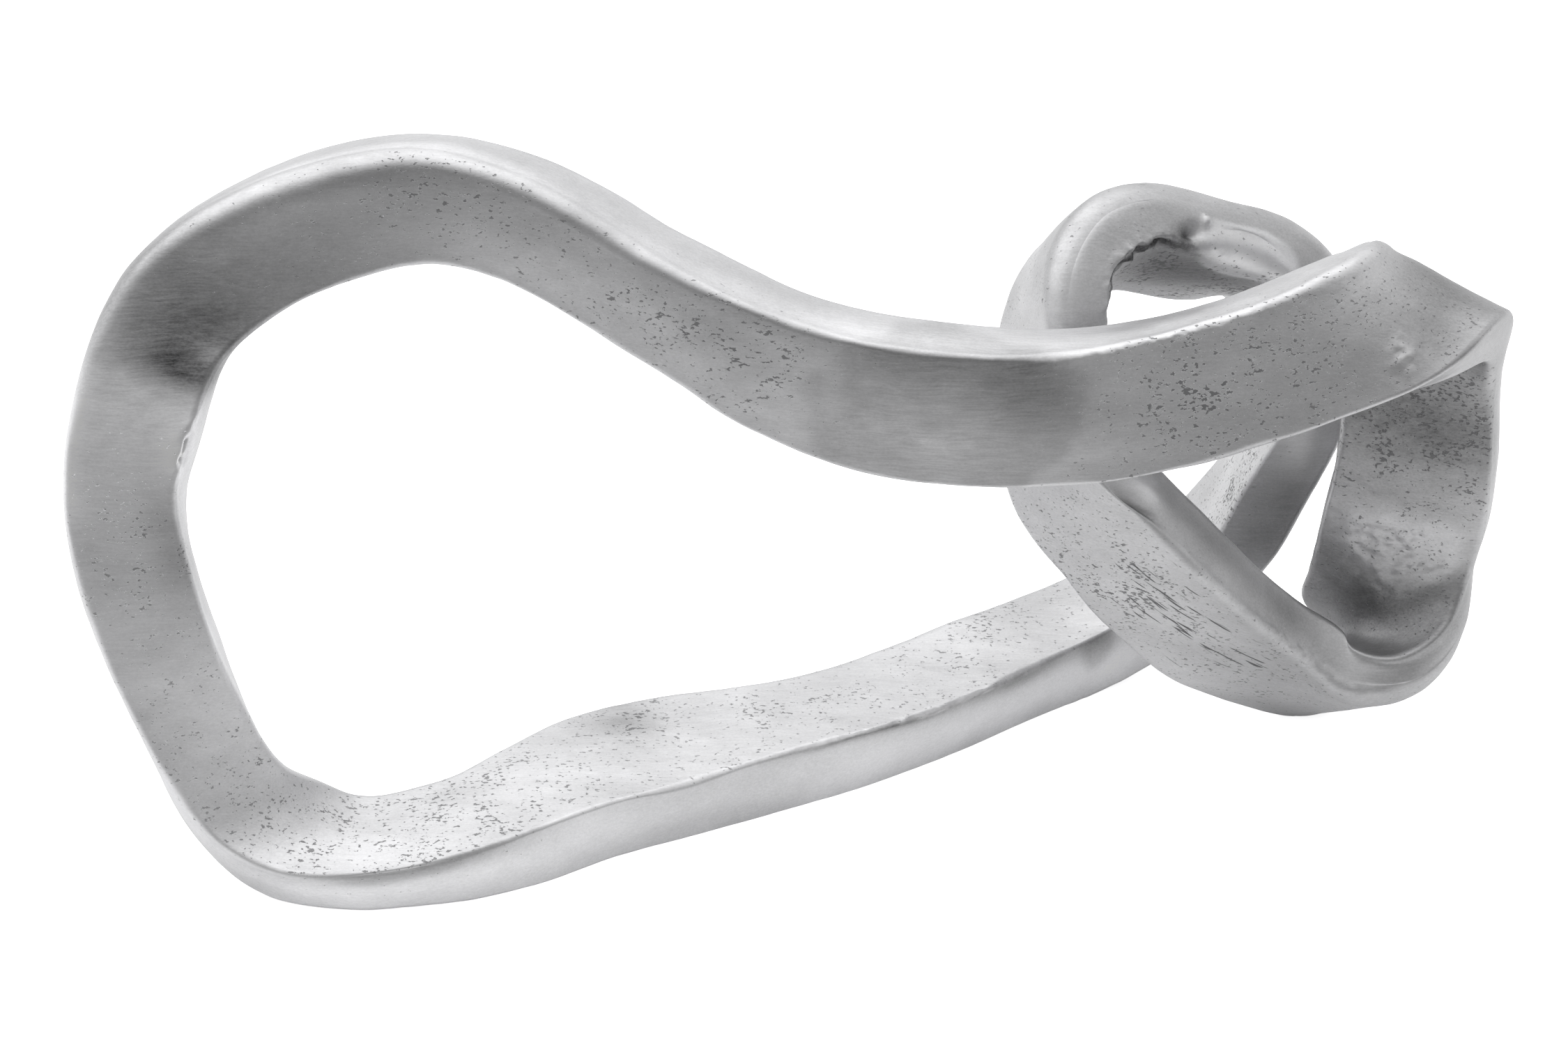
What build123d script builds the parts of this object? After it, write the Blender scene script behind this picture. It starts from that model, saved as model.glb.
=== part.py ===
from build123d import *

import os

import numpy as np

# A freeform knot of cast aluminium. One heavy bar of oblong section runs round once and closes on
# itself with a half turn in it, so the wide face that starts in front ends behind. It makes a long
# loop on the left, a folded corner and a foot on the right, and a small eye behind the upper arm.
# The bar is eight castings. Their ends are bevelled down to a root face, butted, and joined by a ring
# of weld metal. The underside is ground flat where the knot rests.

# Driving dimensions, in millimetres. The bar's centreline is set out in a frame of this length
# (left to right), depth (front to back) and height, and the shares below are shares of these.
run_length = 500.0
run_depth = 200.0
run_height = 250.0
face_width = 50.0
bar_thickness = 25.0
edge_chamfer = 2.0
weld_reach = 7.0
weld_depth = 6.0
weld_crown = 0.8
ground_level = -1.5
section_pitch = 16.0

# The back half of the eye passes behind the leg. Its front edge keeps its place when the face width
# changes, because the rows there are set back by half a face width, as a share of run_depth.
set_back_share = 0.5 * face_width / run_depth

# Where the bar runs. Each casting starts at its seam with the one before. A row holds the centre of
# the section (shares of run_length, run_depth and run_height), the way its wide face looks, and its
# width and thickness (shares of face_width and bar_thickness).
casting_shares = {
    "lower_left_bend": [
        (0.536, 0.470, 0.050, (0.00, -0.05, 1.00), 1.06, 1.24),
        (0.470, 0.420, 0.046, (0.00, -0.03, 1.00), 1.30, 1.16),
        (0.416, 0.355, 0.046, (0.00, -0.03, 1.00), 1.30, 1.16),
        (0.360, 0.250, 0.046, (0.00, 0.00, 1.00), 1.14, 1.14),
        (0.270, 0.135, 0.042, (0.00, -0.05, 1.00), 1.04, 0.88),
        (0.202, 0.120, 0.044, (0.00, -0.15, 1.00), 1.02, 0.80),
        (0.140, 0.130, 0.112, (0.20, -0.70, 0.80), 0.86, 0.96),
        (0.106, 0.135, 0.240, (0.20, -0.85, 0.50), 0.82, 0.88),
        (0.084, 0.135, 0.388, (0.00, -0.87, 0.50), 0.84, 0.80),
        (0.062, 0.150, 0.572, (0.00, -0.87, 0.45), 0.88, 0.80),
    ],
    "left_bend": [
        (0.060, 0.175, 0.692, (-0.10, -0.90, 0.40), 0.90, 0.80),
        (0.072, 0.205, 0.792, (-0.15, -0.90, 0.30), 0.96, 0.80),
        (0.098, 0.275, 0.920, (-0.05, -0.95, 0.20), 0.96, 0.80),
    ],
    "upper_arm": [
        (0.146, 0.330, 1.000, (0.00, -1.00, 0.15), 0.96, 0.84),
        (0.220, 0.380, 1.056, (0.00, -1.00, 0.10), 0.94, 0.92),
        (0.284, 0.400, 1.076, (0.00, -1.00, 0.03), 0.92, 0.92),
        (0.354, 0.395, 1.052, (0.00, -1.00, -0.15), 0.90, 1.00),
        (0.432, 0.370, 0.972, (0.00, -0.97, -0.23), 0.86, 1.08),
        (0.512, 0.330, 0.884, (0.00, -0.97, -0.20), 0.96, 1.08),
        (0.608, 0.300, 0.800, (0.00, -1.00, -0.12), 1.16, 1.00),
    ],
    "corner_bend": [
        (0.704, 0.290, 0.768, (0.00, -1.00, -0.04), 1.18, 1.00),
        (0.790, 0.300, 0.764, (0.00, -1.00, 0.06), 1.14, 0.96),
        (0.876, 0.330, 0.788, (0.05, -1.00, 0.15), 1.12, 0.92),
        (0.960, 0.380, 0.832, (0.10, -1.00, 0.20), 1.12, 0.96),
        (1.024, 0.450, 0.856, (0.20, -0.80, 0.55), 1.16, 0.96),
        (1.064, 0.560, 0.832, (0.50, 0.43, 0.75), 1.20, 0.96),
        (1.070, 0.650, 0.692, (0.30, 0.95, 0.20), 1.22, 0.96),
        (1.072, 0.670, 0.528, (0.25, 0.95, -0.10), 1.26, 0.96),
    ],
    "foot_bend": [
        (1.068, 0.710, 0.380, (0.20, 0.95, -0.15), 1.30, 0.96),
        (1.062, 0.720, 0.288, (0.32, 0.91, -0.25), 1.28, 0.96),
        (1.060, 0.715, 0.216, (0.58, 0.68, -0.42), 1.30, 0.92),
        (1.050, 0.690, 0.140, (0.66, 0.00, -0.75), 1.24, 0.96),
        (1.020, 0.660, 0.102, (0.05, -0.58, -0.81), 1.22, 1.04),
        (0.980, 0.650, 0.122, (-0.35, -0.75, -0.55), 1.28, 1.00),
        (0.914, 0.600, 0.228, (-0.50, -0.85, -0.15), 1.32, 0.96),
        (0.844, 0.520, 0.408, (-0.50, -0.85, -0.10), 1.22, 1.08),
    ],
    "eye_front_half": [
        (0.824, 0.510, 0.460, (-0.55, -0.83, -0.05), 1.18, 1.08),
        (0.804, 0.505, 0.512, (-0.60, -0.80, 0.00), 1.14, 1.08),
        (0.774, 0.510, 0.656, (-0.80, -0.55, 0.10), 1.02, 1.00),
        (0.770, 0.545, 0.800, (-0.90, -0.34, 0.22), 0.94, 1.00),
        (0.784, 0.605, 0.880, (-0.80, 0.15, 0.50), 0.92, 1.08),
        (0.826, 0.685, 0.908, (-0.25, 0.65, 0.60), 0.94, 1.20),
    ],
    "eye_back_half": [
        (0.888, 0.6875 + set_back_share / 2, 0.860, (0.15, 0.75, 0.55), 1.00, 1.16),
        (0.940, 0.685 + set_back_share, 0.808, (0.60, 0.70, 0.30), 1.00, 1.12),
        (0.978, 0.735 + set_back_share, 0.688, (0.80, 0.50, 0.10), 1.00, 1.12),
        (0.982, 0.775 + set_back_share, 0.476, (0.85, 0.10, -0.50), 1.00, 1.12),
        (0.964, 0.815 + set_back_share, 0.352, (0.82, 0.02, -0.56), 1.00, 1.12),
        (0.924, 0.845 + set_back_share, 0.200, (0.60, 0.10, -0.80), 1.00, 1.12),
        (0.860, 0.835 + set_back_share, 0.088, (0.30, 0.10, -0.95), 0.92, 1.16),
    ],
    "lower_arm": [
        (0.812, 0.775 + set_back_share, 0.058, (0.15, 0.10, -0.98), 0.90, 1.28),
        (0.764, 0.7575 + set_back_share / 2, 0.054, (0.00, 0.10, -1.00), 0.88, 1.28),
        (0.662, 0.635, 0.050, (0.00, 0.10, -1.00), 0.94, 1.20),
    ],
}
castings = list(casting_shares)
stations = [row for name in castings for row in casting_shares[name]]


def closed_spline(stops, rows, lap, turn):
    """Cubic through the rows at the stops. A lap later it repeats, times turn (1 or -1)."""
    count = len(stops)
    gaps = np.append(stops[1:], stops[0] + lap) - stops
    matrix = np.zeros((count, count))
    right = np.zeros((count, rows.shape[1]))
    after = np.roll(rows, -1, axis=0)
    after[-1] *= turn
    steps = (after - rows) / gaps[:, None]
    for i in range(count):
        back_sign = turn if i == 0 else 1
        next_sign = turn if i == count - 1 else 1
        matrix[i, i - 1] += gaps[i - 1] * back_sign
        matrix[i, i] += 2 * (gaps[i - 1] + gaps[i])
        matrix[i, (i + 1) % count] += gaps[i] * next_sign
        right[i] = 6 * (steps[i] - back_sign * steps[i - 1])
    bends = np.linalg.solve(matrix, right)
    bends_after = np.roll(bends, -1, axis=0)
    bends_after[-1] *= turn

    def read(place):
        """Value and slope at a place along the lap."""
        laps, place = divmod(place, lap)
        i = np.searchsorted(stops, place, side="right") - 1
        gap = gaps[i]
        u = (place - stops[i]) / gap
        v = 1 - u
        value = v * rows[i] + u * after[i]
        value = value + gap**2 / 6 * ((v**3 - v) * bends[i] + (u**3 - u) * bends_after[i])
        slope = steps[i] + gap / 6 * ((1 - 3 * v**2) * bends[i] + (3 * u**2 - 1) * bends_after[i])
        sign = turn ** int(laps)
        return sign * value, sign * slope

    return read


centre_rows = np.array([row[:3] for row in stations]) * (run_length, run_depth, run_height)
facing_rows = np.array([row[3] for row in stations])
facing_rows = facing_rows / np.linalg.norm(facing_rows, axis=1)[:, None]
size_rows = np.array([row[4:] for row in stations]) * (face_width, bar_thickness)

# The place of each station along the lap, measured straight from centre to centre.
spans = np.linalg.norm(np.roll(centre_rows, -1, axis=0) - centre_rows, axis=1)
stops = np.cumsum(spans) - spans
lap = spans.sum()

centre_at = closed_spline(stops, centre_rows, lap, 1)
facing_at = closed_spline(stops, facing_rows, lap, -1)
size_at = closed_spline(stops, size_rows, lap, 1)

first_station = np.cumsum([0] + [len(casting_shares[name]) for name in castings[:-1]])
seams = [stops[i] for i in first_station] + [lap]


def section(place, growth=0.0):
    """Oblong across the bar at a place along it, its edges broken, grown or shrunk on every side."""
    centre, along = centre_at(place)
    facing, _ = facing_at(place)
    size, _ = size_at(place)
    across = np.cross(along, facing)
    plane = Plane(origin=Vector(*centre), x_dir=Vector(*across), z_dir=Vector(*along))
    width, thickness = size + 2 * growth
    oblong = Rectangle(width, thickness)
    return plane * chamfer(oblong.vertices(), edge_chamfer * thickness / size[1])


def bevel(seam, toe):
    """Tapered end of a casting, from the full bar at the toe of the weld to the root face."""
    return loft([section(toe), section(seam, -weld_depth)], ruled=True)


def casting(start, end):
    """One cast length of the bar between two seams, with a bevel at each end."""
    first = start + weld_reach
    last = end - weld_reach
    count = int(np.ceil((last - first) / section_pitch)) + 1
    body = loft([section(place) for place in np.linspace(first, last, count)], ruled=True)
    return body + bevel(start, first) + bevel(end, last)


def weld(seam):
    """Ring of weld metal that fills the two bevels and stands a little proud at its middle."""
    before = seam - weld_reach
    after = seam + weld_reach
    bead = loft([section(before), section(seam, weld_crown), section(after)], ruled=True)
    return bead - bevel(seam, before) - bevel(seam, after)


def grind(piece):
    """The piece without what reaches below the plane that the knot rests on."""
    if piece.bounding_box().min.Z > ground_level:
        return piece
    return split(piece, bisect_by=Plane.XY.offset(ground_level), keep=Keep.TOP)


def knot():
    """Every piece of the knot, by name, with the origin under its middle."""
    pieces = {}
    for name, start, end in zip(castings, seams[:-1], seams[1:]):
        pieces[name] = grind(casting(start, end))
    for before, after, seam in zip(castings, castings[1:] + castings[:1], seams[1:]):
        pieces[f"weld_{before}_to_{after}"] = grind(weld(seam))
    boxes = [piece.bounding_box() for piece in pieces.values()]
    box = boxes[0]
    for other in boxes[1:]:
        box = box.add(other)
    middle = box.center()
    seat = Pos(-middle.X, -middle.Y, -ground_level)
    return {name: seat * piece for name, piece in pieces.items()}


os.makedirs("parts", exist_ok=True)
for name, piece in knot().items():
    export_step(piece, f"parts/{name}.step")
    print(name, round(piece.volume), "mm3")
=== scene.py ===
import math

import bpy
import numpy as np
from bpy.props import FloatProperty, FloatVectorProperty, IntProperty, PointerProperty
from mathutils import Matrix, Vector


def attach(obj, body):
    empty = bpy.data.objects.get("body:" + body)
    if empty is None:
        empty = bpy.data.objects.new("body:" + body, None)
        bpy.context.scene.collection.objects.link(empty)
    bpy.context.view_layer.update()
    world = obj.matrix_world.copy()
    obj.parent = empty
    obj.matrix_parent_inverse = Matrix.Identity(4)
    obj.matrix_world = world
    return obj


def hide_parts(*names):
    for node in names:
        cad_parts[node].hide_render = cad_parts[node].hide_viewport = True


bl_info = {
    "name": "Metal Knot",
    "version": (1, 0, 0),
    "blender": (4, 5, 0),
    "location": "View3D > Sidebar > Metal Knot",
    "description": "A heavy bar welded from eight castings into a knot, cast and ground",
    "category": "Object",
}

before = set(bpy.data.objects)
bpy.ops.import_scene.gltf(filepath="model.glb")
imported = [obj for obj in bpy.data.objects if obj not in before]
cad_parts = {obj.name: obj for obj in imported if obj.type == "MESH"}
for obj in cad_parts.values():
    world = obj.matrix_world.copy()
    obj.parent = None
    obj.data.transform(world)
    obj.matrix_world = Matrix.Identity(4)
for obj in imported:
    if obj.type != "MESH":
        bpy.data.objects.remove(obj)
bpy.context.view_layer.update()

# The run of the bar
# A row holds the centre of the bar (shares of the run's length, depth and height), the way the wide
# face in front looks, and the bar's width and thickness (shares of the two usual sizes).
casting_shares = {
    "lower_left_bend": [
        (0.536, 0.470, 0.050, (0.00, -0.05, 1.00), 1.06, 1.24),
        (0.470, 0.420, 0.046, (0.00, -0.03, 1.00), 1.30, 1.16),
        (0.416, 0.355, 0.046, (0.00, -0.03, 1.00), 1.30, 1.16),
        (0.360, 0.250, 0.046, (0.00, 0.00, 1.00), 1.14, 1.14),
        (0.270, 0.135, 0.042, (0.00, -0.05, 1.00), 1.04, 0.88),
        (0.202, 0.120, 0.044, (0.00, -0.15, 1.00), 1.02, 0.80),
        (0.140, 0.130, 0.112, (0.20, -0.70, 0.80), 0.86, 0.96),
        (0.106, 0.135, 0.240, (0.20, -0.85, 0.50), 0.82, 0.88),
        (0.084, 0.135, 0.388, (0.00, -0.87, 0.50), 0.84, 0.80),
        (0.062, 0.150, 0.572, (0.00, -0.87, 0.45), 0.88, 0.80),
    ],
    "left_bend": [
        (0.060, 0.175, 0.692, (-0.10, -0.90, 0.40), 0.90, 0.80),
        (0.072, 0.205, 0.792, (-0.15, -0.90, 0.30), 0.96, 0.80),
        (0.098, 0.275, 0.920, (-0.05, -0.95, 0.20), 0.96, 0.80),
    ],
    "upper_arm": [
        (0.146, 0.330, 1.000, (0.00, -1.00, 0.15), 0.96, 0.84),
        (0.220, 0.380, 1.056, (0.00, -1.00, 0.10), 0.94, 0.92),
        (0.284, 0.400, 1.076, (0.00, -1.00, 0.03), 0.92, 0.92),
        (0.354, 0.395, 1.052, (0.00, -1.00, -0.15), 0.90, 1.00),
        (0.432, 0.370, 0.972, (0.00, -0.97, -0.23), 0.86, 1.08),
        (0.512, 0.330, 0.884, (0.00, -0.97, -0.20), 0.96, 1.08),
        (0.608, 0.300, 0.800, (0.00, -1.00, -0.12), 1.16, 1.00),
    ],
    "corner_bend": [
        (0.704, 0.290, 0.768, (0.00, -1.00, -0.04), 1.18, 1.00),
        (0.790, 0.300, 0.764, (0.00, -1.00, 0.06), 1.14, 0.96),
        (0.876, 0.330, 0.788, (0.05, -1.00, 0.15), 1.12, 0.92),
        (0.960, 0.380, 0.832, (0.10, -1.00, 0.20), 1.12, 0.96),
        (1.024, 0.450, 0.856, (0.20, -0.80, 0.55), 1.16, 0.96),
        (1.064, 0.560, 0.832, (0.50, 0.43, 0.75), 1.20, 0.96),
        (1.070, 0.650, 0.692, (0.30, 0.95, 0.20), 1.22, 0.96),
        (1.072, 0.670, 0.528, (0.25, 0.95, -0.10), 1.26, 0.96),
    ],
    "foot_bend": [
        (1.068, 0.710, 0.380, (0.20, 0.95, -0.15), 1.30, 0.96),
        (1.062, 0.720, 0.288, (0.32, 0.91, -0.25), 1.28, 0.96),
        (1.060, 0.715, 0.216, (0.58, 0.68, -0.42), 1.30, 0.92),
        (1.050, 0.690, 0.140, (0.66, 0.00, -0.75), 1.24, 0.96),
        (1.020, 0.660, 0.102, (0.05, -0.58, -0.81), 1.22, 1.04),
        (0.980, 0.650, 0.122, (-0.35, -0.75, -0.55), 1.28, 1.00),
        (0.914, 0.600, 0.228, (-0.50, -0.85, -0.15), 1.32, 0.96),
        (0.844, 0.520, 0.408, (-0.50, -0.85, -0.10), 1.22, 1.08),
    ],
    "eye_front_half": [
        (0.824, 0.510, 0.460, (-0.55, -0.83, -0.05), 1.18, 1.08),
        (0.804, 0.505, 0.512, (-0.60, -0.80, 0.00), 1.14, 1.08),
        (0.774, 0.510, 0.656, (-0.80, -0.55, 0.10), 1.02, 1.00),
        (0.770, 0.545, 0.800, (-0.90, -0.34, 0.22), 0.94, 1.00),
        (0.784, 0.605, 0.880, (-0.80, 0.15, 0.50), 0.92, 1.08),
        (0.826, 0.685, 0.908, (-0.25, 0.65, 0.60), 0.94, 1.20),
    ],
    "eye_back_half": [
        (0.888, 0.750, 0.860, (0.15, 0.75, 0.55), 1.00, 1.16),
        (0.940, 0.810, 0.808, (0.60, 0.70, 0.30), 1.00, 1.12),
        (0.978, 0.860, 0.688, (0.80, 0.50, 0.10), 1.00, 1.12),
        (0.982, 0.900, 0.476, (0.85, 0.10, -0.50), 1.00, 1.12),
        (0.964, 0.940, 0.352, (0.82, 0.02, -0.56), 1.00, 1.12),
        (0.924, 0.970, 0.200, (0.60, 0.10, -0.80), 1.00, 1.12),
        (0.860, 0.960, 0.088, (0.30, 0.10, -0.95), 0.92, 1.16),
    ],
    "lower_arm": [
        (0.812, 0.900, 0.058, (0.15, 0.10, -0.98), 0.90, 1.28),
        (0.764, 0.820, 0.054, (0.00, 0.10, -1.00), 0.88, 1.28),
        (0.662, 0.635, 0.050, (0.00, 0.10, -1.00), 0.94, 1.20),
    ],
}
castings = list(casting_shares)
stations = [row for name in castings for row in casting_shares[name]]
first_station = np.cumsum([0] + [len(casting_shares[name]) for name in castings[:-1]])

# How many points lie round the bar: on each wide face, each thin face and each rounded edge.
wide_points = 42
thin_points = 20
edge_points = 6

# How many places along the bar are read to find the middle of its box.
rough_places = 800

# What the skin is like where nothing else says so: how many pores a wide face has, how far it has
# been ground and brushed, and how bright a long edge is worn (0 to 1).
usual_pits = 0.35
usual_dressed = 0.45
usual_wear = 0.45

# A ragged spot has a second set of bites, this many times finer and this share as high.
bite_fineness = 2.1
bite_share = 0.6

# How far the rim of a patch or a stain bulges in and out, as a share of its size.
rim_bulge = 0.22

# Spots that differ, by casting. Each row: the kind, the share of the casting's length, the side (0
# wide face in front, 0.25 thin face, 0.5 wide face behind, 0.75 thin face, as shares of the way
# round), half its length and half its width in metres, and by how much. A rise, a ragged spot and a
# patch are metres above the surface: a rise is smooth, a ragged spot has small bites, and a patch
# has a lobed rim. A stain is a change of tone with a lobed rim: some are stains of the metal, and
# the others are painted shade (below zero) and painted highlight (above zero), such as a dark facet
# and a bright bevel. The other kinds are masks, which the materials read. Tone spots are painted
# shade below zero and painted light above it: darker and lighter reflections on the faces, shaded
# faces, shade in cracks and grooves, and light on bumps and on faces that lie in shade. Edge spots
# add to the bright worn edges, mostly as painted glints and highlights; below zero they take an
# edge's brightness away.
spots = {
    "lower_left_bend": [
        ("tone", 0.80, 0.98, 0.060, 0.030, 0.26),
        ("pits", 0.94, 0.05, 0.025, 0.025, 0.45),
        ("tone", 0.94, 0.13, 0.022, 0.008, -0.40),
        ("pits", 0.60, 0.00, 0.060, 0.030, 0.25),
        ("pits", 0.35, 0.00, 0.060, 0.030, 0.35),
        ("pits", 0.12, 0.08, 0.012, 0.012, 0.50),
        ("tone", 0.13, 0.08, 0.012, 0.016, -0.35),
        ("tone", 0.42, 0.825, 0.034, 0.0045, -0.60),
        ("rise", 0.42, 0.825, 0.034, 0.0040, -0.0014),
        ("tone", 0.35, 0.760, 0.120, 0.010, 0.30),
        ("edge", 0.30, 0.857, 0.080, 0.003, 0.4),
    ],
    "left_bend": [
        ("tone", 0.72, 0.02, 0.028, 0.032, -0.80),
        ("tone", 0.50, 0.11, 0.010, 0.015, -0.70),
        ("tone", 0.15, 0.98, 0.026, 0.030, 0.26),
        ("tone", 0.40, 0.98, 0.005, 0.020, 0.15),
        ("tone", 0.22, 0.14, 0.012, 0.008, 0.30),
        ("tone", 0.30, 0.857, 0.060, 0.004, 0.30),
        ("pits", 0.50, 0.00, 0.060, 0.040, -0.40),
        ("dressed", 0.50, 0.00, 0.060, 0.040, 0.45),
        ("rise", 0.24, 0.165, 0.004, 0.003, -0.0016),
        ("rise", 0.17, 0.170, 0.003, 0.003, -0.0018),
        ("ragged", 0.22, 0.165, 0.012, 0.003, 0.0010),
        ("edge", 0.25, 0.150, 0.016, 0.004, 0.9),
    ],
    "upper_arm": [
        ("tone", 0.15, 0.857, 0.070, 0.006, -0.30),
        ("tone", 0.75, 0.857, 0.070, 0.004, -0.25),
        ("tone", 0.05, 0.10, 0.030, 0.020, -0.25),
        ("pits", 0.27, 0.92, 0.030, 0.012, 0.35),
        ("pits", 0.60, 0.97, 0.060, 0.022, 0.40),
        ("pits", 0.73, 0.97, 0.018, 0.030, 0.25),
        ("pits", 0.97, 0.00, 0.045, 0.040, -0.60),
        ("dressed", 0.96, 0.00, 0.045, 0.040, 0.50),
        ("stain_and_painted_light", 0.97, 0.96, 0.050, 0.045, -0.22),
        ("tone", 0.93, 0.87, 0.040, 0.009, -0.32),
    ],
    "corner_bend": [
        ("tone", 0.07, 0.90, 0.020, 0.016, -0.30),
        ("pits", 0.27, 0.00, 0.045, 0.030, 0.55),
        ("pits", 0.42, 0.00, 0.030, 0.030, 0.20),
        ("edge", 0.25, 0.857, 0.060, 0.003, 0.9),
        ("ragged", 0.25, 0.857, 0.060, 0.003, 0.00045),
        ("rise", 0.60, 0.855, 0.030, 0.007, -0.0018),
        ("tone", 0.58, 0.02, 0.022, 0.028, -0.65),
        ("rise", 0.512, 0.075, 0.004, 0.004, 0.0009),
        ("ragged", 0.512, 0.075, 0.006, 0.007, 0.0006),
        ("edge", 0.512, 0.075, 0.004, 0.005, 0.6),
        ("pits", 0.80, 0.50, 0.050, 0.040, 0.50),
        ("ragged", 0.80, 0.50, 0.040, 0.030, 0.00025),
        ("tone", 0.80, 0.50, 0.050, 0.040, -0.75),
    ],
    "foot_bend": [
        ("patch", 0.03, 0.49, 0.020, 0.019, 0.0012),
        ("stain_and_painted_light", 0.03, 0.49, 0.020, 0.019, 0.32),
        ("ragged", 0.10, 0.50, 0.030, 0.030, 0.00030),
        ("ragged", 0.03, 0.49, 0.014, 0.014, 0.00050),
        ("tone", 0.16, 0.45, 0.036, 0.040, -0.75),
        ("rise", 0.22, 0.680, 0.010, 0.012, 0.0022),
        ("rise", 0.27, 0.650, 0.016, 0.012, 0.0040),
        ("rise", 0.52, 0.338, 0.026, 0.010, 0.0012),
        ("rise", 0.29, 0.080, 0.018, 0.034, 0.0040),
        ("rise", 0.60, 0.900, 0.018, 0.014, 0.0035),
        ("pits", 0.90, 0.97, 0.040, 0.035, 0.45),
        ("pits", 0.55, 0.00, 0.030, 0.030, 0.25),
        ("gouges", 0.84, 0.01, 0.034, 0.022, 1.0),
        ("gouges", 0.60, 0.05, 0.024, 0.018, 0.9),
        ("ragged", 0.55, 0.170, 0.060, 0.004, 0.00040),
        ("tone", 0.60, 0.245, 0.080, 0.016, -0.42),
        ("edge", 0.40, 0.170, 0.040, 0.010, -0.40),
        ("edge", 0.30, 0.340, 0.040, 0.010, -0.30),
    ],
    "eye_front_half": [
        ("rise", 0.10, 0.235, 0.012, 0.007, 0.0022),
        ("tone", 0.10, 0.235, 0.010, 0.006, 0.40),
        ("rise", 0.09, 0.182, 0.012, 0.002, -0.0016),
        ("tone", 0.09, 0.180, 0.012, 0.002, -0.80),
        ("ragged", 0.73, 0.345, 0.028, 0.0045, 0.0024),
        ("rise", 0.66, 0.340, 0.006, 0.003, -0.0025),
        ("rise", 0.80, 0.345, 0.007, 0.003, -0.0030),
        ("tone", 0.74, 0.352, 0.026, 0.0022, -1.00),
        ("tone", 0.80, 0.250, 0.060, 0.022, -0.28),
        ("rise", 0.90, 0.320, 0.004, 0.005, -0.0030),
        ("rise", 0.885, 0.312, 0.0050, 0.0032, -0.0020),
        ("tone", 0.880, 0.315, 0.0060, 0.0030, -0.60),
        ("rise", 0.927, 0.268, 0.0016, 0.0040, 0.0020),
        ("tone", 0.80, 0.47, 0.045, 0.022, -0.55),
        ("pits", 0.85, 0.47, 0.040, 0.022, 0.50),
    ],
    "eye_back_half": [
        ("tone", 0.10, 0.230, 0.030, 0.014, -0.28),
        ("stain_and_painted_light", 0.03, 0.300, 0.024, 0.012, 0.50),
        ("edge", 0.03, 0.300, 0.022, 0.007, 0.8),
        ("pits", 0.06, 0.47, 0.040, 0.022, 0.50),
        ("tone", 0.06, 0.47, 0.040, 0.020, -0.50),
        ("tone", 0.58, 0.235, 0.045, 0.014, -0.45),
        ("pits", 0.58, 0.42, 0.050, 0.020, 0.60),
        ("gouges", 0.60, 0.34, 0.020, 0.004, 0.80),
        ("tone", 0.95, 0.24, 0.040, 0.010, 0.30),
    ],
    "lower_arm": [
        ("tone", 0.10, 0.24, 0.050, 0.010, 0.20),
        ("stain_and_painted_light", 0.04, 0.300, 0.010, 0.008, -0.55),
        ("pits", 0.25, 0.55, 0.025, 0.020, 0.30),
        ("pits", 0.90, 0.51, 0.025, 0.020, 0.30),
        ("edge", 0.60, 0.335, 0.070, 0.003, 0.6),
        ("ragged", 0.60, 0.335, 0.060, 0.003, 0.00045),
        ("tone", 0.75, 0.318, 0.032, 0.0018, -0.90),
        ("tone", 0.30, 0.315, 0.040, 0.0035, -0.55),
        ("tone", 0.50, 0.240, 0.090, 0.010, 0.30),
    ],
}

# Long edges that were ground softer. Each row: the casting, the share of its length, the edge (0
# between the front wide face and the inner thin one, then on round), half its length in metres, and
# how many times its usual radius is added.
soft_edges = [
    ("left_bend", 0.50, 3, 0.120, 0.8),
    ("upper_arm", 0.25, 3, 0.110, 0.9),
    ("corner_bend", 0.60, 3, 0.040, 1.8),
    ("corner_bend", 0.75, 1, 0.030, 0.8),
    ("foot_bend", 0.30, 0, 0.045, 1.3),
    ("foot_bend", 0.65, 0, 0.050, 0.9),
    ("eye_front_half", 0.75, 0, 0.060, 2.4),
    ("eye_front_half", 0.75, 3, 0.050, 1.2),
    ("eye_back_half", 0.00, 0, 0.040, 1.2),
    ("eye_back_half", 0.03, 1, 0.024, 3.6),
]

# How bright the room is that the metal sees, by how far a direction leans back and up (0 to 1), and
# how much the direction's x, y and z count in that.
room_levels = [(0.02, 0.16), (0.30, 0.24), (0.52, 0.40), (0.70, 0.74), (0.97, 0.84)]
room_lean = (-0.12, 0.9, 2.4)
lamp_place = (-0.5, 0.3, 2.2)

# The camera's sensor in millimetres, and how far it sees in metres.
sensor_width = 36.0
view_end = 50.0

# The range that most values of a noise lie in.
noise_range = (0.35, 0.65)

# From one node to the next in a laid out tree, across and down.
node_spacing = (220, 260)


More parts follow.
